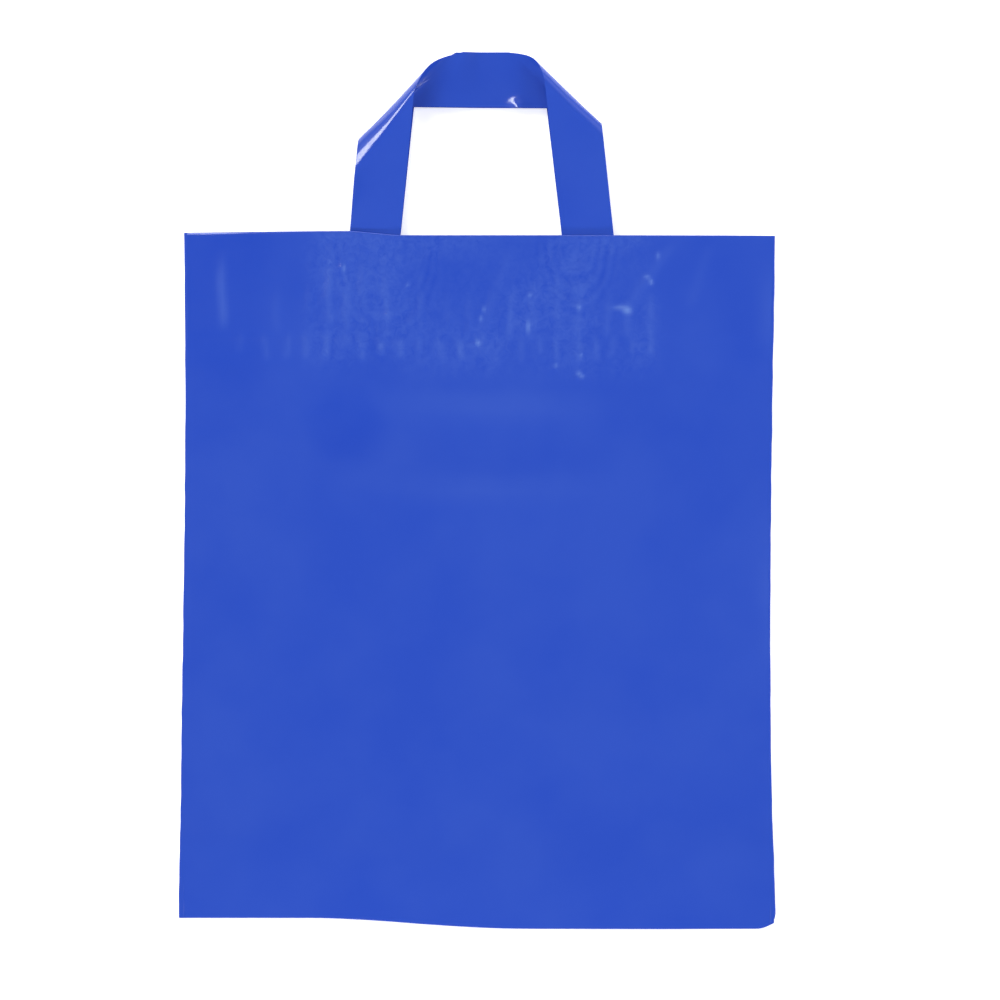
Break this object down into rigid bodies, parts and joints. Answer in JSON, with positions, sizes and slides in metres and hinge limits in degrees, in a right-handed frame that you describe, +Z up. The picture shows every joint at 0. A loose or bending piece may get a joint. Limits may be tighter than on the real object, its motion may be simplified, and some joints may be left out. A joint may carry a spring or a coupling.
{
  "type": "soft loop handle carrier bag",
  "caption": "Flat plastic film carrier bag lying on its back, with a turned-in hem, side welds, a folded base gusset and soft strip loop handles.",
  "frame": {"origin": "middle of the whole outline, on the surface that the bag lies on", "axes": "+X across the bag to the right as seen from above, +Y from the base to the mouth and handles, +Z up from the back panel to the front panel"},
  "size_m": [0.3836, 0.5634, 0.0314],
  "materials": {
    "body_film": "glossy blue polyethylene film, slightly milky",
    "front_strip": "glossy blue polyethylene strip",
    "back_strip": "glossy blue polyethylene strip"
  },
  "bodies": {
    "root": {"bag_body": "body_film", "front_handle": "front_strip", "back_handle": "back_strip"}
  },
  "joints": []
}
